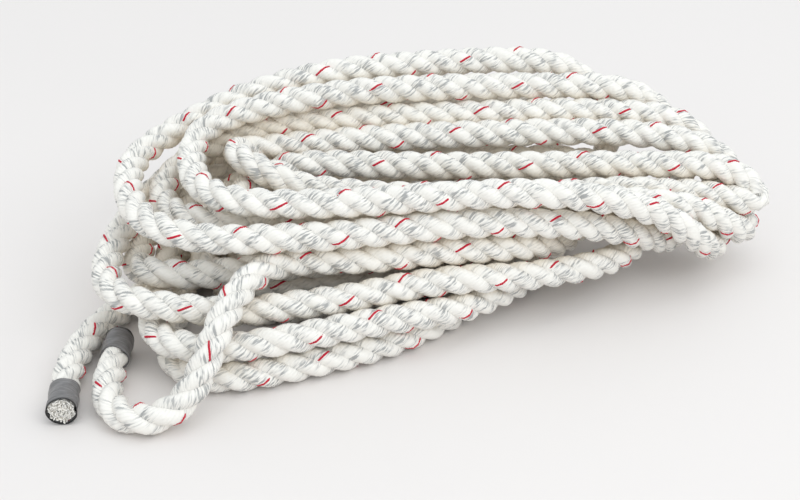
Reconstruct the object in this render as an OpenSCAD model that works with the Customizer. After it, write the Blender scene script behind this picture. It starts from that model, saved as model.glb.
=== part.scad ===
// Coiled dock line: one length of three-strand laid rope, wound counter-clockwise into an oval
// hank that lies on the plane Z = 0. Both ends are taped, and lie free at the hank's left.
// Millimetres, +Z up, +X along the hank.

/* [Rope] */
// Diameter of the laid rope; the hank grows and shrinks with it
rope_d = 12; // [10:0.5:14]
// Length of rope over which a strand goes once round it
lay_len = 30; // [24:1:40]
// Diameter of the coloured tracer yarn in the first strand
tracer_d = 1; // [0.6:0.1:1.4]
// Clearance between neighbouring strands
strand_gap = 0.2; // [0.1:0.05:0.4]

/* [Taped ends] */
// Length of each tape wrap
tape_len = 13; // [8:1:20]
// Thickness of the wound tape
tape_t = 0.5; // [0.3:0.1:1]
// Clearance between the strands and the tape round them
tape_gap = 0.1; // [0.05:0.05:0.3]
// Length of strand that stands out of the tape
stub_len = 1; // [0.5:0.5:3]

/* [Hidden] */
// The route below is laid out for a rope of 12 mm
k = rope_d / 12;
rope_r = rope_d / 2;
// The tape binds the strands tighter than they lie in the open rope
bound = 0.87;
end_r = bound * rope_r;
tape_r = end_r + tape_gap + tape_t;
// A bound strand is a disc that reaches the bound surface, trimmed to a third of the rope
strand_r = 0.6 * end_r;
// Sides of a rope tube, and the most degrees of a turn between two rings
sides = 8;
ring_step = 12;
// A right end narrower than this doesn't lean, and none leans more than the second length
no_lean = 40;
most_lean = 40;
// Middle of the hank in the route's own coordinates
middle = [13.5, -39.25];

// One row per turn, from the top of the hank to the bottom; all but the last are turns.
// left end X and Y, right end X, front run Y at left and right, back run Y at left and right,
// heights of the left end, front run, right end and back run
TURNS = [
    [ -97,  -6,  82,  -76, -46,  18, 50, 41, 36, 22, 74],
    [-109, -14, 119,  -84, -34,   8, 40, 51, 46, 13, 66],
    [ -84, -10, 135,  -70, -36,  15, 27, 55, 58, 12, 58],
    [ -97, -14, 146,  -60, -20,   8, 16, 41, 48, 16, 54],
    [ -67,  -6, 151,  -28, -10,  -7, -1, 54, 40, 28, 46],
    [ -64, -22,  96,  -46, -26,  12, 16, 43, 38, 28, 40],
    [ -78, -28,  64,  -36, -14,  40, 49, 32, 29, 22, 54],
    [-113, -62, 104,  -98, -42,  28, 40, 31, 24, 14, 20],
    [-105, -46,  40,  -68, -40,  14, 44, 24, 28, 17, 41],
    [ -95, -62,  64, -114, -50,   9, 34, 16, 17,  8, 17],
    [ -80, -22,  20,  -60, -38,  -3, 13, 21, 17, 18, 18],
    [ -66, -22,   8,  -44, -25, -15,  2, 20, 17, 18, 18],
    [ -58, -26,  25,  -42, -14,   4, 28,  6,  6,  6,  6],
    [ -72, -20,  38,  -64, -26,  18, 40,  6,  6,  6,  6],
    [ -90, -62,  52, -116, -52,  32, 54,  6,  6,  6,  6],
    [-107, -30,  92, -124, -32,  52, 78,  6,  6,  6,  6]
];
turn_count = len(TURNS) - 1;
// The first turn starts in mid front run, and the last one stops before its left end
first_deg = 70;
last_deg = 322;

// Free tails, from the hank outwards, as X, Y and height of the rope's middle
WORKING_TAIL = [
    [-52, -72, 36], [-58, -82, 34], [-63, -92, 31], [-68, -104, 24], [-72, -113, 17], [-77, -119, 10],
    [-84, -124, 6], [-92, -127, 6], [-100, -124, 6], [-106, -115, 6], [-108, -103, 6]
];
BITTER_TAIL = [
    [-101, -36, 6], [-109, -48, 6], [-115, -59, 6], [-120, -71, 6], [-123, -83, 6], [-124, -95, 6]
];
// Cut face of each end in the route's plan, and the way it points
working_tip = [-108.5, -75];
working_heading = 90;
bitter_tip = [-122, -120];
bitter_heading = -84;

function turn_name(i) = str("turn_", i < 9 ? "0" : "", i + 1);
END_PIECES = ["tail", "tape", "strand_1", "strand_2", "strand_3", "tracer"];

function unit(v) = v / norm(v);
function ease(a) = let (t = min(1, max(0, a))) t * t * (3 - 2 * t);
function mix(a, b, w) = a + (b - a) * w;

// From 280 degrees on, the back run leads over to the left end of the next turn
function row_at(i, deg) =
    let (a = TURNS[i], b = TURNS[i + 1], w = ease((deg - 280) / 80))
    [for (q = [0:10]) (q == 0 || q == 1 || q == 7) ? mix(a[q], b[q], w) : a[q]];

// A point of an oval turn: 0 degrees is its left end, 90 its front, 180 its right end, 270 its back.
// The ends are fuller than an ellipse, a wide right end leans back, and the back run stays high until
// it dives at its right end.
function on_oval(r, deg) =
    let (
        c = cos(deg),
        s = sin(deg),
        gap = r[6] - r[4],
        full = c > 0 ? 0.25 : s > 0 ? 0.38 - gap / 1600 : 0.36 + gap / 950,
        lean = c < 0 ? min(most_lean, max(0, gap - no_lean) / 2) : 0,
        u = -c * (1 + full * s * s),
        v = abs(s) * (1 + full * c * c),
        m = (u + 1) / 2,
        run = s > 0 ? mix(r[3], r[4], m) : mix(r[5], r[6], m),
        mid = mix(r[1], (r[4] + r[6]) / 2, m),
        w = s > 0 || c > 0 ? c * c : pow(-c, 5)
    )
    [
        (r[0] + r[2]) / 2 + (r[2] - r[0]) / 2 * u - lean * s * c * c,
        mix(mid, run, v),
        mix(s > 0 ? r[8] : r[10], c > 0 ? r[7] : r[9], w)
    ];

// From the route's coordinates to the part's
function placed(p) = [k * (p[0] - middle[0]), k * (p[1] - middle[1]), k * p[2]];

function on_turn(i, deg) =
    deg < 0 && i > 0 ? on_turn(i - 1, deg + 360)
    : deg > 360 && i < turn_count - 1 ? on_turn(i + 1, deg - 360)
    : placed(on_oval(row_at(i, deg), deg));
function way_on_turn(i, deg) = unit(on_turn(i, deg + 1) - on_turn(i, deg - 1));

// A ring of points round the rope, with one point straight down on a level run
function ring(p, way) =
    let (side = unit(cross([0, 0, 1], way)), up = cross(way, side))
    [for (j = [0:sides - 1]) let (a = 360 * j / sides) p + rope_r * (cos(a) * side + sin(a) * up)];

function turn_rings(i) =
    let (
        from = i == 0 ? first_deg : 0,
        to = i == turn_count - 1 ? last_deg : 360,
        n = ceil((to - from) / ring_step)
    )
    [for (q = [0:n]) let (deg = mix(from, to, q / n)) ring(on_turn(i, deg), way_on_turn(i, deg))];

function heading(deg) = [cos(deg), sin(deg), 0];
// Where the open rope stops and the tape starts
function tape_start(tip, deg) =
    let (p = placed([tip[0], tip[1], 0])) [p[0], p[1], rope_r] - (tape_len + stub_len) * heading(deg);

// Smooth curve through hand-set points, with one more point between each two, never under the plane
function between(a, b, c, d) = let (p = (9 * (b + c) - a - d) / 16) [p[0], p[1], max(rope_r, p[2])];
function curve(pts) =
    let (n = len(pts) - 1)
    [
        for (i = [0:n - 1])
            each [pts[i], between(pts[max(i - 1, 0)], pts[i], pts[i + 1], pts[min(i + 2, n)])],
        pts[n]
    ];
function tail_rings(start, start_way, pts, stop, stop_way) =
    let (c = curve(concat([start], [for (p = pts) placed(p)], [stop])), n = len(c) - 1)
    [
        for (i = [0:n])
            ring(c[i], i == 0 ? start_way : i == n ? stop_way : unit(c[i + 1] - c[i - 1]))
    ];

// Solid tube through a list of rings, closed by a flat face at both ends
module tube(rings) {
    n = len(rings);
    m = sides;
    caps = [[for (j = [0:m - 1]) j], [for (j = [m - 1:-1:0]) (n - 1) * m + j]];
    walls = [
        for (i = [0:n - 2], j = [0:m - 1])
            let (a = i * m + j, b = i * m + (j + 1) % m)
            each [[a, a + m, b], [b, a + m, b + m]]
    ];
    polyhedron(points = [for (r = rings) each r], faces = concat(caps, walls));
}

module turn(i) {
    color("WhiteSmoke") tube(turn_rings(i));
}

module working_end_tail() {
    color("WhiteSmoke") tube(tail_rings(
        on_turn(0, first_deg), -way_on_turn(0, first_deg), WORKING_TAIL,
        tape_start(working_tip, working_heading), heading(working_heading)
    ));
}

module bitter_end_tail() {
    last = turn_count - 1;
    color("WhiteSmoke") tube(tail_rings(
        on_turn(last, last_deg), way_on_turn(last, last_deg), BITTER_TAIL,
        tape_start(bitter_tip, bitter_heading), heading(bitter_heading)
    ));
}

// Stands its children's Z axis along a taped end, from the start of the tape towards the cut face
module at_end(tip, deg) {
    translate(tape_start(tip, deg)) rotate([0, 90, deg]) children();
}

module tape() {
    color("DimGray") difference() {
        cylinder(h = tape_len, r = tape_r, $fn = 48);
        translate([0, 0, -1]) cylinder(h = tape_len + 2, r = tape_r - tape_t, $fn = 48);
    }
}

// Carries a cross-section along an end with the rope's right-hand lay
module laid() {
    length = tape_len + stub_len;
    linear_extrude(height = length, twist = -360 * length / lay_len, slices = ceil(12 * length / lay_len))
        children();
}

module tracer_outline(clear) {
    translate([end_r - tracer_d / 2, 0]) circle(d = tracer_d + 2 * clear, $fn = 10);
}

// One strand's cross-section: a third of the rope with a round back
module strand_outline() {
    edge = strand_gap / 2;
    intersection() {
        translate([end_r - strand_r, 0]) circle(r = strand_r, $fn = 28);
        translate([edge / sin(60), 0]) polygon([[0, 0], rope_d * [cos(60), sin(60)], rope_d * [cos(60), -sin(60)]]);
    }
}

module strand(i) {
    color("Ivory") laid() difference() {
        rotate(120 * i) strand_outline();
        if (i == 0) tracer_outline(tape_gap);
    }
}

module tracer() {
    color("Crimson") laid() tracer_outline(0);
}

for (i = [0:turn_count - 1]) {
    turn(i);
}
working_end_tail();
bitter_end_tail();
at_end(working_tip, working_heading) tape();  // working_end_tape
at_end(bitter_tip, bitter_heading) tape();  // bitter_end_tape
for (i = [0:2]) {
    at_end(working_tip, working_heading) strand(i);
    at_end(bitter_tip, bitter_heading) strand(i);
}
at_end(working_tip, working_heading) tracer();  // working_end_tracer
at_end(bitter_tip, bitter_heading) tracer();  // bitter_end_tracer
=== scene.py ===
"""Coiled dock line: three laid strands with a tracer yarn, wound into an oval hank, both ends taped."""

import math
import random

import bpy
import numpy as np
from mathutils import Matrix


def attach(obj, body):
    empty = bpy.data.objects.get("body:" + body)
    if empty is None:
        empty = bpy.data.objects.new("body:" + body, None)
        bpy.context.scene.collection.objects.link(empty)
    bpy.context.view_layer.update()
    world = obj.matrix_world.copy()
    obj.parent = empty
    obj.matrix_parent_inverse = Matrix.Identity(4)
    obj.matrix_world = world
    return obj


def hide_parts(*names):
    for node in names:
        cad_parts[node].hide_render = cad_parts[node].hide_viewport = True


bl_info = {
    "name": "Coiled dock line",
    "version": (1, 0, 0),
    "blender": (4, 5, 0),
    "location": "3D View > Sidebar > Dock line",
    "description": "Builds a hank of three-strand laid rope with taped ends, and its studio",
    "category": "Object",
}

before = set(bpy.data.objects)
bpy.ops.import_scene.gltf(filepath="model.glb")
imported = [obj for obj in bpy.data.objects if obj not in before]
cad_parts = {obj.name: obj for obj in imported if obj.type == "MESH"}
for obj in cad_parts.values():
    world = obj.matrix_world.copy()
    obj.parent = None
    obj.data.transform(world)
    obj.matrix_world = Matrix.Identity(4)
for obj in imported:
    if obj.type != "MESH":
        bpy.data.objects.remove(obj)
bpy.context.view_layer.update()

MM = 0.001
TINY = 1e-6

# Middle of the hank in the route's own coordinates, in millimetres
MIDDLE = (13.5, -39.25)

# One row per turn, from the top of the hank to the bottom; the last row only ends the one before it.
# Left end X and Y, right end X, front run Y at left and right, back run Y at left and right,
# heights of the left end, front run, right end and back run, all in millimetres.
TURNS = (
    (-97, -6, 82, -76, -46, 18, 50, 41, 36, 22, 74),
    (-109, -14, 119, -84, -34, 8, 40, 51, 46, 13, 66),
    (-84, -10, 135, -70, -36, 15, 27, 55, 58, 12, 58),
    (-97, -14, 146, -60, -20, 8, 16, 41, 48, 16, 54),
    (-67, -6, 151, -28, -10, -7, -1, 54, 40, 28, 46),
    (-64, -22, 96, -46, -26, 12, 16, 43, 38, 28, 40),
    (-78, -28, 64, -36, -14, 40, 49, 32, 29, 22, 54),
    (-113, -62, 104, -98, -42, 28, 40, 31, 24, 14, 20),
    (-105, -46, 40, -68, -40, 14, 44, 24, 28, 17, 41),
    (-95, -62, 64, -114, -50, 9, 34, 16, 17, 8, 17),
    (-80, -22, 20, -60, -38, -3, 13, 21, 17, 18, 18),
    (-66, -22, 8, -44, -25, -15, 2, 20, 17, 18, 18),
    (-58, -26, 25, -42, -14, 4, 28, 6, 6, 6, 6),
    (-72, -20, 38, -64, -26, 18, 40, 6, 6, 6, 6),
    (-90, -62, 52, -116, -52, 32, 54, 6, 6, 6, 6),
    (-107, -30, 92, -124, -32, 52, 78, 6, 6, 6, 6),
)
# Columns of the left end, and the degrees over which a turn leads over to the left end of the next
LEFT_END = (0, 1, 7)
LEAD_FROM, LEAD_SPAN = 280, 80
# How much fuller than an ellipse a turn is at its left, front right and back right. A wide right end is
# slimmer in front and fuller at the back, by its width in millimetres over these lengths
FULL_LEFT, FULL_FRONT, FULL_BACK = 0.25, 0.38, 0.36
FRONT_SLIMS, BACK_SWELLS = 1600, 950
# A right end narrower than the first length doesn't lean back, and none leans more than the second
NO_LEAN, MOST_LEAN = 40, 40
# The back run stays high until it dives at its right end
DIVE_POWER = 5
# The first turn starts in mid front run, and the last one stops before its left end
FIRST_DEG, LAST_DEG = 70, 322
ROUTE_STEP_DEG = 6

# Free tails, from the hank outwards; then the cut face of each end and the way it points
WORKING_TAIL = (
    (-52, -72, 36), (-58, -82, 34), (-63, -92, 31), (-68, -104, 24), (-72, -113, 17), (-77, -119, 10),
    (-84, -124, 6), (-92, -127, 6), (-100, -124, 6), (-106, -115, 6), (-108, -103, 6),
)
BITTER_TAIL = (
    (-101, -36, 6), (-109, -48, 6), (-115, -59, 6), (-120, -71, 6), (-123, -83, 6), (-124, -95, 6),
)
WORKING_TIP, WORKING_HEADING = (-108.5, -75), 90
BITTER_TIP, BITTER_HEADING = (-122, -120), -84
TAPED_POINTS = 5

# Spacing in metres of the points that settle, and of the rings of the finished rope
SETTLE_STEP, RING_STEP = 0.004, 0.002
# In rope diameters: how near runs may lie, how near they are watched, and the length that can't push itself
TOUCH, WATCHED, OWN_RUN = 0.985, 1.9, 3.5
# In each round: how far runs give way to each other, push on the rope, evening of bends, pull to its place
SETTLE_ROUNDS = 150
GIVE_WAY, PUSH, EVEN_BENDS, PULL_HOME = 0.25, 1.6, 0.35, 0.004
# Weights that spread a push along the rope, and the points at each taped end that stay where they are
PUSH_SPREAD = np.array([1, 3, 5, 6, 5, 3, 1]) / 24
PINNED = 5

# In rope diameters: a strand's middle from the rope's axis, its radius, and how far out the grooves are filled
STRAND_MIDDLE, STRAND_RADIUS, GROOVE = 0.20, 0.30, 0.35
# Half the angle of a strand's third of the rope
HALF_THIRD = math.radians(60)
# Clearance in metres between a strand and its neighbours, and the same for the surface that the tracer follows
STRAND_SLACK, TRACER_SLACK = 0.00001, 0.00002
STRAND_POINTS, TRACER_SIDES = 16, 6
# Share of its radius that the tracer yarn is sunk into the strand
TRACER_SUNK = 0.45
# Share by which the tape binds the rope tighter, and the length over which that fades
TAPE_SQUEEZE, SQUEEZE_LENGTH = 0.13, 0.008
SHARP_EDGE = math.radians(50)

# Painted shade: crowding is a rough occlusion measure that masks the beige crevice shade on the yarn
# Crowding looks at every third ring and in eight ways, within a reach but past a length of its own run, both in
# rope diameters; less wall than the first share counts as open, and it's full after the second
CROWD_EVERY, CROWD_WAYS = 3, 8
CROWD_REACH, CROWD_OWN = 3, 2
CROWD_FROM, CROWD_RANGE = 0.50, 0.60

# Camera, and for each softbox its power, size, place and tint
CAMERA_PLACE, CAMERA_TILT = (-0.0135, -0.52075, 0.3265), math.radians(60)
LENS, SENSOR = 67.5, 36.0
SOFTBOXES = (
    ("top_softbox", 2.2, 0.9, (0.10, -0.05, 1.25), (0.94, 0.975, 1.0)),
    ("right_softbox", 2.8, 0.6, (0.70, -0.65, 0.90), (0.94, 0.975, 1.0)),
)
LAMP_AIM = (0, 0, 0.03)
WORLD_TINT, WORLD_STRENGTH = (0.93, 0.97, 1.0, 1.0), 0.97
FLOOR_REACH = 6.0


class RopeSizes(bpy.types.PropertyGroup):
    """Sizes of the rope and its taped ends"""

    diameter: bpy.props.FloatProperty(
        name="Rope diameter", description="Outside diameter of the laid rope", default=0.012, unit="LENGTH")
    lay: bpy.props.FloatProperty(
        name="Lay", description="Length of rope over which a strand goes once round it",
        default=0.030, unit="LENGTH")
    yarn_pitch: bpy.props.FloatProperty(
        name="Yarn pitch", description="Length of rope over which a yarn goes once round its strand",
        default=0.0122, unit="LENGTH")
    yarns: bpy.props.IntProperty(
        name="Yarns", description="Yarns that show round one strand", default=14)
    tracer_d: bpy.props.FloatProperty(
        name="Tracer diameter", description="Diameter of the coloured yarn", default=0.0011, unit="LENGTH")
    tape_len: bpy.props.FloatProperty(
        name="Tape length", description="Length of each tape wrap", default=0.013, unit="LENGTH")
    tape_r: bpy.props.FloatProperty(
        name="Tape radius", description="Outside radius of a tape wrap", default=0.0058, unit="LENGTH")
    stub: bpy.props.FloatProperty(
        name="Stub", description="Length of strand that stands out of the tape", default=0.001, unit="LENGTH")


class RopeColours(bpy.types.PropertyGroup):
    """Colours of the yarns, the tape and the floor"""

    nylon: bpy.props.FloatVectorProperty(
        name="Nylon", description="Clean white yarn", subtype="COLOR", default=(0.96, 0.93, 0.87))
    # Painted shade: grey for filaments whose sheen turns away from the light
    shade_streak: bpy.props.FloatVectorProperty(
        name="Streak", description="Filament that turns away from the light", subtype="COLOR",
        default=(0.42, 0.42, 0.41))
    # Painted shade: warm beige that stands in for light bounced about deep in the grooves and between runs
    crevice_shade: bpy.props.FloatVectorProperty(
        name="Crease", description="Yarn deep between its neighbours", subtype="COLOR",
        default=(0.89, 0.79, 0.64))
    tracer: bpy.props.FloatVectorProperty(
        name="Tracer", description="Tracer yarn", subtype="COLOR", default=(0.66, 0.010, 0.040))
    tape: bpy.props.FloatVectorProperty(
        name="Tape", description="Grey binding tape", subtype="COLOR", default=(0.145, 0.14, 0.14))
    floor: bpy.props.FloatVectorProperty(
        name="Floor", description="Pale studio floor", subtype="COLOR", default=(0.825, 0.785, 0.76))


def unit(v):
    return v / np.linalg.norm(v, axis=-1, keepdims=True)


def ease(a):
    """Smooth step from 0 to 1."""
    t = np.clip(a, 0.0, 1.0)
    return t * t * (3 - 2 * t)


def mix(a, b, w):
    return a + (b - a) * w


def circle(sides):
    """Angles of evenly spaced points round a ring."""
    return 2 * math.pi * np.arange(sides) / sides


def on_turn(i, deg):
    """Point of an oval turn: 0 degrees is its left end, 90 its front, 180 its right end, 270 its back."""
    row = list(TURNS[i])
    lead = ease((deg - LEAD_FROM) / LEAD_SPAN)
    for q in LEFT_END:
        row[q] = mix(row[q], TURNS[i + 1][q], lead)
    left_x, left_y, right_x, front_left, front_right, back_left, back_right = row[:7]
    left_z, front_z, right_z, back_z = row[7:]
    c, s = math.cos(math.radians(deg)), math.sin(math.radians(deg))
    gap = back_right - front_right
    if c > 0:
        full = FULL_LEFT
    elif s > 0:
        full = FULL_FRONT - gap / FRONT_SLIMS
    else:
        full = FULL_BACK + gap / BACK_SWELLS
    lean = min(MOST_LEAN, max(0, gap - NO_LEAN) / 2) if c < 0 else 0
    u = -c * (1 + full * s * s)
    v = abs(s) * (1 + full * c * c)
    m = (u + 1) / 2
    run = mix(front_left, front_right, m) if s > 0 else mix(back_left, back_right, m)
    mid = mix(left_y, (front_right + back_right) / 2, m)
    w = c * c if s > 0 or c > 0 else abs(c) ** DIVE_POWER
    return (
        (left_x + right_x) / 2 + (right_x - left_x) / 2 * u - lean * s * c * c,
        mix(mid, run, v),
        mix(front_z if s > 0 else back_z, left_z if c > 0 else right_z, w),
    )


def taped_end(tip, heading, height, length):
    """Points of a straight taped end, from its cut face back to where the tape starts."""
    a = math.radians(heading)
    return [
        (tip[0] - t * math.cos(a), tip[1] - t * math.sin(a), height)
        for t in np.linspace(0, length, TAPED_POINTS)
    ]


def smooth_curve(points, per):
    """Catmull-Rom curve through points, in so many steps between each two."""
    p = np.array(points, float)
    p = np.vstack([2 * p[0] - p[1], p, 2 * p[-1] - p[-2]])
    t = np.linspace(0, 1, per, endpoint=False)[:, None]
    out = []
    for a, b, c, d in zip(p, p[1:], p[2:], p[3:]):
        square, cube = 2 * a - 5 * b + 4 * c - d, 3 * b - a - 3 * c + d
        out.append(0.5 * (2 * b + (c - a) * t + square * t**2 + cube * t**3))
    return np.vstack(out + [p[-2:-1]])


def even(p, step):
    """The same curve with evenly spaced points, and its length."""
    s = np.concatenate([[0], np.cumsum(np.linalg.norm(np.diff(p, axis=0), axis=1))])
    n = int(round(s[-1] / step))
    at = np.linspace(0, s[-1], n + 1)
    return np.stack([np.interp(at, s, p[:, q]) for q in range(3)], 1), s[-1]


def settle(p, rope_d):
    """Moves runs that cross apart until they about touch, and keeps the rope on the floor."""
    n = len(p)
    skip = int(OWN_RUN * rope_d / SETTLE_STEP)
    near = np.linalg.norm(p[:, None, :] - p[None, :, :], axis=2) < WATCHED * rope_d
    i, j = np.nonzero(np.triu(near, skip))
    free = np.ones((n, 1))
    free[:PINNED] = free[-PINNED:] = 0
    margin = len(PUSH_SPREAD) // 2
    home = p.copy()
    for _ in range(SETTLE_ROUNDS):
        gap = p[i] - p[j]
        dist = np.maximum(np.linalg.norm(gap, axis=1, keepdims=True), TINY)
        push = np.where(dist < TOUCH * rope_d, GIVE_WAY * (TOUCH * rope_d - dist) * gap / dist, 0)
        share = 0.5 * (dist < rope_d)
        move = np.zeros_like(p)
        hits = np.ones((n, 1))
        for points, sign in ((i, 1), (j, -1)):
            np.add.at(move, points, sign * push)
            np.add.at(hits, points, share)
        move = np.pad(move / hits, ((margin, margin), (0, 0)), mode="edge")
        move = np.stack([np.convolve(move[:, q], PUSH_SPREAD, "valid") for q in range(3)], 1)
        bend = np.zeros_like(p)
        bend[2:-2] = (4 * (p[1:-3] + p[3:-1]) - p[:-4] - p[4:]) / 6 - p[2:-2]
        p = p + free * (PUSH * move + EVEN_BENDS * bend + PULL_HOME * (home - p))
        p[:, 2] = np.maximum(p[:, 2], rope_d / 2)
    return p


def rope_route(sizes):
    """Middle line of the whole rope, from the working end's cut face to the bitter end's."""
    height = sizes.diameter / 2 / MM
    length = (sizes.tape_len + sizes.stub) / MM
    points = taped_end(WORKING_TIP, WORKING_HEADING, height, length) + list(reversed(WORKING_TAIL))
    last = len(TURNS) - 2
    for i in range(last + 1):
        start = FIRST_DEG if i == 0 else 0
        stop = LAST_DEG if i == last else 360
        points += [on_turn(i, deg) for deg in np.arange(start, stop, ROUTE_STEP_DEG)]
    points += list(BITTER_TAIL) + list(reversed(taped_end(BITTER_TIP, BITTER_HEADING, height, length)))
    p = (np.array(points, float) - [MIDDLE[0], MIDDLE[1], 0]) * MM
    p, _ = even(smooth_curve(p, per=6), SETTLE_STEP)
    return smooth_curve(settle(p, sizes.diameter), per=4)


class Rope:
    """The settled rope: evenly spaced points, the frame that the strands turn in, and the way along it."""

    def __init__(self, sizes):
        self.points, self.length = even(rope_route(sizes), RING_STEP)
        p = self.points
        n = len(p)
        way = np.empty_like(p)
        way[1:-1] = p[2:] - p[:-2]
        way[0], way[-1] = p[1] - p[0], p[-1] - p[-2]
        self.way = unit(way)
        self.s = np.linspace(0, self.length, n)
        side = np.empty_like(p)
        side[0] = unit(np.cross([0, 0, 1.0], self.way[0]))
        for k in range(1, n):
            v = side[k - 1] - np.dot(side[k - 1], self.way[k]) * self.way[k]
            side[k] = v / np.linalg.norm(v)
        self.side = side
        self.up = np.cross(self.way, side)
        # On the bitter end's cut face the first strand points down and a little to the right
        low = np.array([0.35, 0.0, -0.94])
        start = math.atan2(low @ self.up[-1], low @ side[-1])
        self.turn = 2 * math.pi * (self.s - self.length) / sizes.lay + start
        past_tape = np.minimum(self.s, self.length - self.s) - sizes.stub - sizes.tape_len
        self.bound = 1 - TAPE_SQUEEZE * (1 - ease(past_tape / SQUEEZE_LENGTH))

    def place(self, x, y, phase):
        """Points at (x, y) of the cross-section, which turns with the lay; x and y are rows of points."""
        a = (self.turn + phase)[:, None]
        x, y = x * self.bound[:, None], y * self.bound[:, None]
        rx, ry = x * np.cos(a) - y * np.sin(a), x * np.sin(a) + y * np.cos(a)
        return self.points[:, None] + rx[..., None] * self.side[:, None] + ry[..., None] * self.up[:, None]

    def crowding(self, rings, d):
        """How far other runs of the rope wall each ring point in: 0 in the open, 1 deep in the hank; it masks the
        painted crevice shade.
        """
        spots = np.arange(0, len(self.points), CROWD_EVERY)
        p, s = self.points[spots], self.s[spots]
        toward = p[None] - p[:, None]
        apart = np.linalg.norm(toward, axis=2)
        other = np.abs(s[:, None] - s[None]) > CROWD_OWN * d
        i, j = np.nonzero((apart < CROWD_REACH * d) & other)
        a = circle(CROWD_WAYS)
        out = np.cos(a)[:, None] * self.side[spots, None] + np.sin(a)[:, None] * self.up[spots, None]
        facing = np.einsum("kqc,kc->kq", out[i], toward[i, j] / apart[i, j, None])
        wall = np.zeros((len(spots), CROWD_WAYS))
        seen = np.maximum(facing, 0) * CROWD_EVERY * self.s[1] * d / (math.pi * apart[i, j, None] ** 2)
        np.add.at(wall, i, seen)
        arm = rings - self.points[:, None]
        angle = np.arctan2((arm * self.up[:, None]).sum(2), (arm * self.side[:, None]).sum(2))
        around = angle / (2 * math.pi) * CROWD_WAYS
        low, part = np.floor(around).astype(int), around - np.floor(around)
        row = np.minimum(np.arange(len(rings)) // CROWD_EVERY, len(spots) - 1)[:, None]
        total = wall[row, low % CROWD_WAYS] * (1 - part) + wall[row, (low + 1) % CROWD_WAYS] * part
        return ease((total - CROWD_FROM) / CROWD_RANGE)


def strand_outline(d, angles, slack):
    """Distance of a strand's surface from its own middle: a soft disc pressed flat against its two neighbours."""
    middle, radius, groove = STRAND_MIDDLE * d, STRAND_RADIUS * d, GROOVE * d
    filled = np.sqrt(groove**2 - (middle * np.sin(angles)) ** 2) - middle * np.cos(angles)
    outer = np.cos(angles) > -0.5
    reach = np.where(outer, np.maximum(radius, filled), radius)
    for sign in (1, -1):
        nx, ny = math.sin(HALF_THIRD), -sign * math.cos(HALF_THIRD)
        toward = nx * np.cos(angles) + ny * np.sin(angles)
        flat = np.where(toward < -TINY, (slack - nx * middle) / np.minimum(toward, -TINY), radius)
        reach = np.minimum(reach, flat)
    return middle, reach


def ring_uv(sides, along, shift=0.0):
    """UV rows for rings: the share of the way round, shifted ring by ring, and the metres along."""
    uv = np.empty((len(along), sides + 1, 2))
    uv[..., 0] = np.arange(sides + 1) / sides + np.reshape(shift, (-1, 1))
    uv[..., 1] = along[:, None]
    return uv


def make_piece(name, rings, material, uv, closed_ends=True):
    """Mesh through rows of ring points, with a UV row for each ring point and one more to close the ring."""
    n, m = rings.shape[:2]
    first = np.arange(n - 1)[:, None] * m
    a = first + np.arange(m)[None, :]
    b = first + (np.arange(m)[None, :] + 1) % m
    faces = np.stack([a, b, b + m, a + m], -1).reshape(-1, 4).tolist()
    if closed_ends:
        faces += [list(range(m - 1, -1, -1)), list(range((n - 1) * m, n * m))]
    mesh = bpy.data.meshes.new(name)
    mesh.from_pydata(rings.reshape(-1, 3).tolist(), [], faces)
    mesh.polygons.foreach_set("use_smooth", [True] * len(mesh.polygons))
    layer = mesh.uv_layers.new(name="yarn")
    corner = np.stack([uv[:-1, :-1], uv[:-1, 1:], uv[1:, 1:], uv[1:, :-1]], 2).reshape(-1, 2)
    flat = np.zeros((len(mesh.loops), 2), np.float32)
    flat[:len(corner)] = corner
    if closed_ends:
        flat[len(corner):len(corner) + m] = uv[0, :-1][::-1]
        flat[len(corner) + m:] = uv[-1, :-1]
    layer.data.foreach_set("uv", flat.ravel())
    mesh.materials.append(material)
    mesh.validate()
    obj = bpy.data.objects.new(name, mesh)
    bpy.context.scene.collection.objects.link(obj)
    return obj


class Value:
    """A shader value; Python's operators on it add Math nodes."""

    def __init__(self, look, socket):
        self.look, self.socket = look, socket

    def math(self, operation, a, b=0.0):
        return self.look.node("ShaderNodeMath", {"operation": operation}, {0: a, 1: b})[0]

    def __add__(self, other):
        return self.math("ADD", self, other)

    def __sub__(self, other):
        return self.math("SUBTRACT", self, other)

    def __mul__(self, other):
        return self.math("MULTIPLY", self, other)

    def __truediv__(self, other):
        return self.math("DIVIDE", self, other)

    def __pow__(self, other):
        return self.math("POWER", self, other)

    def __rsub__(self, other):
        return self.math("SUBTRACT", other, self)

    def __rtruediv__(self, other):
        return self.math("DIVIDE", other, self)

    def __rpow__(self, other):
        return self.math("POWER", other, self)

    __radd__ = __add__
    __rmul__ = __mul__

    def fraction(self):
        return self.math("FRACT", self)

    def absolute(self):
        return self.math("ABSOLUTE", self)

    def clamp(self):
        return self.look.node("ShaderNodeClamp", {}, {"Value": self})[0]


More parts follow.
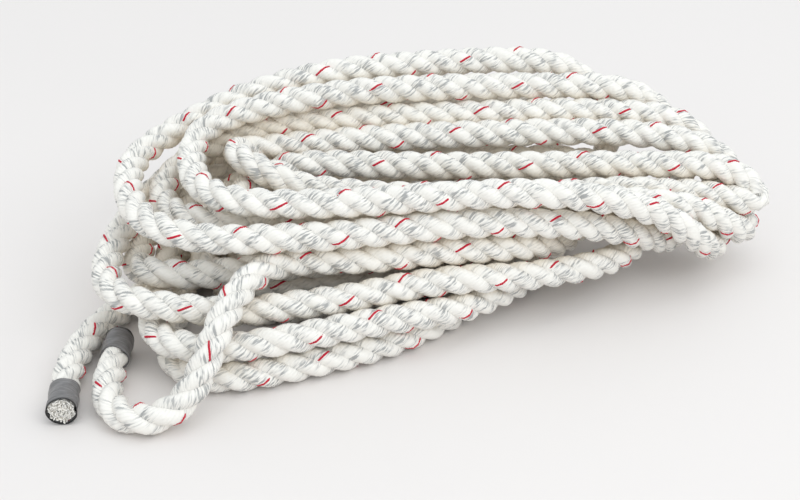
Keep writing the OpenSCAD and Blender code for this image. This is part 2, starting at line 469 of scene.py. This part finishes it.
class Look:
    """One material, built node by node."""

    def __init__(self, name):
        self.material = bpy.data.materials.new(name)
        self.material.use_nodes = True
        self.tree = self.material.node_tree
        self.tree.nodes.clear()

    def node(self, kind, settings, inputs):
        """Adds a node: its settings first, then a value or a link for each named socket; returns its outputs."""
        made = self.tree.nodes.new(kind)
        for key, value in settings.items():
            setattr(made, key, value)
        for key, value in inputs.items():
            socket = made.inputs[key]
            if isinstance(value, Value):
                self.tree.links.new(value.socket, socket)
            elif hasattr(value, "__len__") and len(value) == 3 and socket.type == "RGBA":
                socket.default_value = (*value, 1.0)
            else:
                socket.default_value = value
        return [Value(self, out) for out in made.outputs]

    def yarn_place(self):
        """The two values of the UV map: the way round a ring, and the metres along."""
        uv = self.node("ShaderNodeUVMap", {"uv_map": "yarn"}, {})[0]
        return self.node("ShaderNodeSeparateXYZ", {}, {0: uv})[:2]

    def vector(self, x, y, z=0.0):
        return self.node("ShaderNodeCombineXYZ", {}, {"X": x, "Y": y, "Z": z})[0]

    def noise(self, vector, scale=1.0, detail=2.0, rough=0.5):
        return self.node("ShaderNodeTexNoise", {"noise_dimensions": "3D"},
                         {"Vector": vector, "Scale": scale, "Detail": detail, "Roughness": rough})[0]

    def colour(self, factor, a, b):
        """Mix of two colours; sockets 6 and 7 and output 2 are the colour ones."""
        return self.node("ShaderNodeMix", {"data_type": "RGBA"}, {0: factor, 6: a, 7: b})[2]

    def spread(self, value, low, high, to_low=0.0, to_high=1.0):
        return self.node("ShaderNodeMapRange", {}, {0: value, 1: low, 2: high, 3: to_low, 4: to_high})[0]

    def bump(self, height, strength, distance):
        return self.node("ShaderNodeBump", {}, {"Strength": strength, "Distance": distance, "Height": height})[0]

    def finish(self, sockets):
        """Closes the material with a Principled shader that takes these sockets."""
        shader = self.node("ShaderNodeBsdfPrincipled", {}, sockets)[0]
        self.node("ShaderNodeOutputMaterial", {}, {"Surface": shader})
        return self.material


def nylon_look(name, colours, sizes):
    """Silky white yarns that run slantwise round a strand: clusters of grey filament streaks painted as shade
    where the sheen turns away, and beige painted shade in the creases.
    """
    look = Look(name)
    round_it, along = look.yarn_place()
    yarn = round_it * sizes.yarns
    ridge = 1 - ((yarn.fraction() - 0.5) * 2).absolute() ** 2.2
    inward = ((round_it - along / sizes.yarn_pitch - 0.5) * 2).absolute()
    fine = look.noise(look.vector(yarn * 1.5, along * 260.0), detail=1.0, rough=0.6)
    cluster = look.noise(look.vector(yarn * 0.30, along * 80.0, 4.0), detail=1.0)
    # Painted shade: grey in the hollows between yarn ridges and in clusters of filaments whose sheen turns away
    # from the light
    gap = (1 - ridge) * 0.3 + look.spread(fine, low=0.54, high=0.36) * 1.1
    shade_streak = (gap * look.spread(cluster, low=0.42, high=0.60, to_low=0.04)).clamp()
    white = look.colour(shade_streak, tuple(colours.nylon), tuple(colours.shade_streak))
    # Painted shade: the strand's flanks toward the grooves, and points walled in by other runs, take the beige
    # crevice shade
    # Output 2 is the attribute as one number
    occlusion_shade = look.node("ShaderNodeAttribute", {"attribute_name": "occlusion_shade"}, {})[2]
    deep = (look.spread(inward, low=0.50, high=0.75, to_high=0.15) + occlusion_shade * 0.6).clamp()
    return look.finish({
        "Base Color": look.colour(deep, white, tuple(colours.crevice_shade)),
        "Roughness": look.spread(fine, low=0.35, high=0.65, to_low=0.55, to_high=0.32),
        "Normal": look.bump(ridge * 0.3 + fine * 0.7, strength=0.6, distance=0.0006),
        "Specular IOR Level": 0.35,
    })


def tracer_look(name, colours):
    """Crimson yarn with filaments along it."""
    look = Look(name)
    round_it, along = look.yarn_place()
    fine = look.noise(look.vector(round_it * 14.0, along * 300.0), detail=3.0, rough=0.6)
    dark = tuple(0.6 * c for c in colours.tracer)
    return look.finish({
        "Base Color": look.colour(look.spread(fine, low=0.3, high=0.65), dark, tuple(colours.tracer)),
        "Roughness": 0.5,
        "Normal": look.bump(fine, strength=0.6, distance=0.0002),
        "Specular IOR Level": 0.3,
    })


def tape_look(name, colours):
    """Grey plastic tape with pale stretch marks and scuffs, partly wear and partly painted highlight on its
    wrinkles, and a dark rim at the cut face.
    """
    look = Look(name)
    round_it, along = look.yarn_place()
    marks = look.noise(look.vector(round_it * 5.0, along * 1400.0), detail=3.0, rough=0.6)
    scuff = look.noise(look.vector(round_it * 12.0, along * 260.0), detail=3.0, rough=0.55)
    pale = tuple(min(1.0, 2.1 * c) for c in colours.tape)
    dark = tuple(0.12 * c for c in colours.tape)
    # Painted highlight in part: the pale stretch marks and scuffs stand in for light caught on the tape's
    # wrinkles as well as for wear
    stretch_glint = look.spread(marks, low=0.42, high=0.66, to_high=0.55)
    wear_and_glint = stretch_glint + look.spread(scuff, low=0.55, high=0.75, to_high=0.35)
    rim = look.spread(along, low=0.0, high=-0.0006)
    return look.finish({
        "Base Color": look.colour(rim, look.colour(wear_and_glint, tuple(colours.tape), pale), dark),
        "Roughness": look.spread(scuff, low=0.3, high=0.7, to_low=0.30, to_high=0.48),
        "Normal": look.bump(marks, strength=0.4, distance=0.0003),
        "Specular IOR Level": 0.5,
    })


def floor_look(name, colours):
    """Matt pale floor with the faintest mottling."""
    look = Look(name)
    # Output 3 is the place in the floor's own coordinates
    place = look.node("ShaderNodeTexCoord", {}, {})[3]
    cloud = look.noise(place, scale=3.0)
    pale = tuple(colours.floor)
    dull = tuple(0.985 * c for c in pale)
    return look.finish({
        "Base Color": look.colour(look.spread(cloud, low=0.3, high=0.7), dull, pale),
        "Roughness": 0.75,
        "Specular IOR Level": 0.2,
    })


ROPE = {}


def rope_of(scene):
    """The rope is settled once, and its pieces share it."""
    if "rope" not in ROPE:
        ROPE["rope"] = Rope(scene.dock_line_sizes)
    return ROPE["rope"]


class DOCKLINE_OT_stage(bpy.types.Operator):
    """Adds the camera, floor and studio light"""

    bl_idname = "dockline.stage"
    bl_label = "Studio"

    def execute(self, context):
        scene = context.scene
        eye = bpy.data.cameras.new("camera")
        eye.lens, eye.sensor_width, eye.sensor_fit = LENS, SENSOR, "HORIZONTAL"
        eye.clip_start, eye.clip_end = 0.01, 50.0
        camera = bpy.data.objects.new("camera", eye)
        camera.location = CAMERA_PLACE
        camera.rotation_euler = (CAMERA_TILT, 0, 0)
        scene.collection.objects.link(camera)
        scene.camera = camera

        mesh = bpy.data.meshes.new("floor")
        far = FLOOR_REACH
        mesh.from_pydata([(-far, -far, 0), (far, -far, 0), (far, far, 0), (-far, far, 0)], [], [(0, 1, 2, 3)])
        mesh.materials.append(floor_look("pale_floor", scene.dock_line_colours))
        floor = bpy.data.objects.new("floor", mesh)
        scene.collection.objects.link(floor)

        for name, power, size, place, tint in SOFTBOXES:
            lamp = bpy.data.lights.new(name, "AREA")
            lamp.energy, lamp.size, lamp.color = power, size, tint
            light = bpy.data.objects.new(name, lamp)
            light.location = place
            aim = np.array(LAMP_AIM) - np.array(place)
            yaw, flat = math.atan2(aim[1], aim[0]), math.hypot(aim[0], aim[1])
            light.rotation_euler = (math.atan2(flat, -aim[2]), 0, yaw - math.pi / 2)
            scene.collection.objects.link(light)

        world = bpy.data.worlds.new("studio")
        world.use_nodes = True
        back = world.node_tree.nodes["Background"]
        back.inputs["Color"].default_value = WORLD_TINT
        back.inputs["Strength"].default_value = WORLD_STRENGTH
        scene.world = world
        scene.view_settings.view_transform = "Standard"
        return {"FINISHED"}


class DOCKLINE_OT_strands(bpy.types.Operator):
    """Lays the three strands along the settled rope"""

    bl_idname = "dockline.strands"
    bl_label = "Strands"

    def execute(self, context):
        sizes, colours = context.scene.dock_line_sizes, context.scene.dock_line_colours
        rope = rope_of(context.scene)
        look = nylon_look("white_nylon", colours, sizes)
        angles = circle(STRAND_POINTS) + math.pi
        # Two ring points stand on the corners where the strand meets its neighbours
        corner = math.atan2(GROOVE * math.sin(HALF_THIRD), GROOVE * math.cos(HALF_THIRD) - STRAND_MIDDLE)
        quarter = STRAND_POINTS // 4
        angles[quarter], angles[3 * quarter] = 2 * math.pi - corner, 2 * math.pi + corner
        middle, reach = strand_outline(sizes.diameter, angles, STRAND_SLACK)
        ones = np.ones((len(rope.s), 1))
        x, y = ones * (middle + reach * np.cos(angles)), ones * (reach * np.sin(angles))
        uv = ring_uv(STRAND_POINTS, rope.s, rope.s / sizes.yarn_pitch)
        groups = (
            ["turn_%02d" % i for i in range(1, 6)] + ["working_end_tail"],
            ["turn_%02d" % i for i in range(6, 11)] + ["bitter_end_tail"],
            ["turn_%02d" % i for i in range(11, 16)],
        )
        for i, nodes in enumerate(groups):
            rings = rope.place(x, y, 2 * math.pi * i / 3)
            strand = make_piece("strand_%d" % (i + 1), rings, look, uv)
            strand.data.set_sharp_from_angle(angle=SHARP_EDGE)
            # Painted shade: how walled in each ring point is, which tints the yarn to the crevice shade
            occlusion_shade = strand.data.attributes.new("occlusion_shade", "FLOAT", "POINT")
            occlusion_shade.data.foreach_set("value", rope.crowding(rings, sizes.diameter).astype(np.float32).ravel())
            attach(strand, "root")
            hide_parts(*nodes, "working_end_strand_%d" % (i + 1), "bitter_end_strand_%d" % (i + 1))
        return {"FINISHED"}


class DOCKLINE_OT_tracer(bpy.types.Operator):
    """Winds the coloured yarn round the first strand"""

    bl_idname = "dockline.tracer"
    bl_label = "Tracer yarn"

    def execute(self, context):
        sizes = context.scene.dock_line_sizes
        rope = rope_of(context.scene)
        angle = 2 * math.pi * (rope.length - rope.s) / sizes.yarn_pitch
        middle, reach = strand_outline(sizes.diameter, angle, TRACER_SLACK)
        r = sizes.tracer_d / 2
        reach = (reach - TRACER_SUNK * r)[:, None]
        turn = circle(TRACER_SIDES)
        out_x, out_y = np.cos(angle)[:, None], np.sin(angle)[:, None]
        x = middle + reach * out_x + r * (np.cos(turn) * out_x - np.sin(turn) * out_y)
        y = reach * out_y + r * (np.cos(turn) * out_y + np.sin(turn) * out_x)
        look = tracer_look("red_yarn", context.scene.dock_line_colours)
        yarn = make_piece("tracer_yarn", rope.place(x, y, 0.0), look, ring_uv(TRACER_SIDES, rope.s))
        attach(yarn, "root")
        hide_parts("working_end_tracer", "bitter_end_tracer")
        return {"FINISHED"}


class DOCKLINE_OT_tapes(bpy.types.Operator):
    """Wraps tape round both ends"""

    bl_idname = "dockline.tapes"
    bl_label = "Tape wraps"

    def execute(self, context):
        sizes = context.scene.dock_line_sizes
        rope = rope_of(context.scene)
        look = tape_look("grey_tape", context.scene.dock_line_colours)
        sides, steps = 96, 30
        past_cut, lip, wraps = 0.0014, 0.0004, 2.4
        a = circle(sides)
        for name, node, k in (("tape_working", "working_end_tape", 0), ("tape_bitter", "bitter_end_tape", -1)):
            sign = 1 if k == 0 else -1
            inward = rope.way[k] * sign
            t = np.linspace(-past_cut, sizes.tape_len - sizes.stub, steps)
            turn = rope.turn[k] + sign * 2 * math.pi * t / sizes.lay
            # The tape follows the strands under it, crinkles, and steps up where one wrap laps the last
            strands = np.cos(3 * (a[None, :] - turn[:, None]))
            crinkle = np.sin(4 * a + 700 * t[:, None]) + 0.7 * np.sin(7 * a - 1100 * t[:, None] + 1)
            spiral = (a[None, :] / (2 * math.pi) + wraps * t[:, None] / sizes.tape_len) % 1.0
            lap = np.minimum(1.0, spiral * 12) * np.minimum(1.0, (1 - spiral) * 3)
            r = sizes.tape_r - 0.0003 + 0.00016 * strands + 0.00005 * crinkle
            r = r + 0.00014 * lap
            # Both rims turn in
            t = np.concatenate([[lip], t, t[-1:] - lip])
            r = np.vstack([r[:1] - 0.0005, r, r[-1:] - 0.0009])
            round_it = np.cos(a)[:, None] * rope.side[k] + np.sin(a)[:, None] * rope.up[k]
            rings = rope.points[k] + t[:, None, None] * inward + r[..., None] * round_it[None]
            tape = make_piece(name, rings, look, ring_uv(sides, t), closed_ends=False)
            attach(tape, "root")
            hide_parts(node)
        return {"FINISHED"}


class DOCKLINE_OT_cut_yarns(bpy.types.Operator):
    """Fills both cut faces with the ends of the yarns"""

    bl_idname = "dockline.cut_yarns"
    bl_label = "Cut yarn ends"

    def execute(self, context):
        sizes = context.scene.dock_line_sizes
        rope = rope_of(context.scene)
        look = bpy.data.materials["white_nylon"]
        sides = 8
        pitch, row_pitch, jitter = 0.00098, 0.87, 0.25
        face_r, root, bevel = 0.0049, -0.0003, 0.0001
        a = circle(sides)
        for name, k in (("cut_yarns_working", 0), ("cut_yarns_bitter", -1)):
            outward = rope.way[k] * (-1 if k == 0 else 1)
            pick = random.Random(11)
            verts, faces, uvs = [], [], []
            for row in range(-6, 7):
                for col in range(-6, 7):
                    x = (col + 0.5 * (row % 2) + pick.uniform(-jitter, jitter)) * pitch
                    y = (row * row_pitch + pick.uniform(-jitter, jitter)) * pitch
                    if math.hypot(x, y) > face_r:
                        continue
                    spin = pick.uniform(0, math.pi)
                    wide, thin = pick.uniform(0.0005, 0.0008), pick.uniform(0.0002, 0.00034)
                    top = pick.uniform(0.0008, 0.0016)
                    first, along = len(verts), pick.random()
                    for grow, height in ((1.0, root), (1.0, top - bevel), (0.7, top)):
                        ex, ey = grow * wide * np.cos(a), grow * thin * np.sin(a)
                        px = x + ex * math.cos(spin) - ey * math.sin(spin)
                        py = y + ex * math.sin(spin) + ey * math.cos(spin)
                        flat = rope.points[k] + px[:, None] * rope.side[k] + py[:, None] * rope.up[k]
                        verts += (flat + height * outward).tolist()
                    for q in range(2):
                        for j in range(sides):
                            i, n = first + q * sides + j, first + q * sides + (j + 1) % sides
                            faces.append((i, n, n + sides, i + sides) if k else (i + sides, n + sides, n, i))
                    cap = list(range(first + 2 * sides, first + 3 * sides))
                    faces.append(cap if k else cap[::-1])
                    uvs.append((along / sizes.yarn_pitch + 0.5, along))
            mesh = bpy.data.meshes.new(name)
            mesh.from_pydata(verts, [], faces)
            layer = mesh.uv_layers.new(name="yarn")
            per = 2 * sides * 4 + sides
            flat = np.repeat(np.array(uvs), per, axis=0)
            flat[:, 0] += np.tile(np.linspace(0, 0.25, per), len(uvs))
            layer.data.foreach_set("uv", flat.astype(np.float32).ravel())
            mesh.materials.append(look)
            yarns = bpy.data.objects.new(name, mesh)
            context.scene.collection.objects.link(yarns)
            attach(yarns, "root")
        return {"FINISHED"}


class DOCKLINE_OT_declare(bpy.types.Operator):
    """Settles the rope if no step has done so yet."""

    bl_idname = "dockline.declare"
    bl_label = "Rope facts"

    def execute(self, context):
        rope = rope_of(context.scene)
        return {"FINISHED"}


class DOCKLINE_PT_panel(bpy.types.Panel):
    """Lists the sizes, colours and pieces of the dock line"""

    bl_idname = "DOCKLINE_PT_panel"
    bl_label = "Dock line"
    bl_space_type = "VIEW_3D"
    bl_region_type = "UI"
    bl_category = "Dock line"

    def draw(self, context):
        column = self.layout.column()
        for group in (context.scene.dock_line_sizes, context.scene.dock_line_colours):
            for key in group.__annotations__:
                column.prop(group, key)
        for step in STEPS:
            column.operator(step.bl_idname)


STEPS = (
    DOCKLINE_OT_stage, DOCKLINE_OT_strands, DOCKLINE_OT_tracer, DOCKLINE_OT_tapes, DOCKLINE_OT_cut_yarns,
    DOCKLINE_OT_declare,
)
CLASSES = (RopeSizes, RopeColours, *STEPS, DOCKLINE_PT_panel)


def register():
    for cls in CLASSES:
        bpy.utils.register_class(cls)
    bpy.types.Scene.dock_line_sizes = bpy.props.PointerProperty(type=RopeSizes)
    bpy.types.Scene.dock_line_colours = bpy.props.PointerProperty(type=RopeColours)


def unregister():
    del bpy.types.Scene.dock_line_colours
    del bpy.types.Scene.dock_line_sizes
    for cls in reversed(CLASSES):
        bpy.utils.unregister_class(cls)


def main():
    register()
    bpy.ops.dockline.stage()
    bpy.ops.dockline.strands()
    bpy.ops.dockline.tracer()
    bpy.ops.dockline.tapes()
    bpy.ops.dockline.cut_yarns()
    bpy.ops.dockline.declare()


if __name__ == "__main__":
    main()
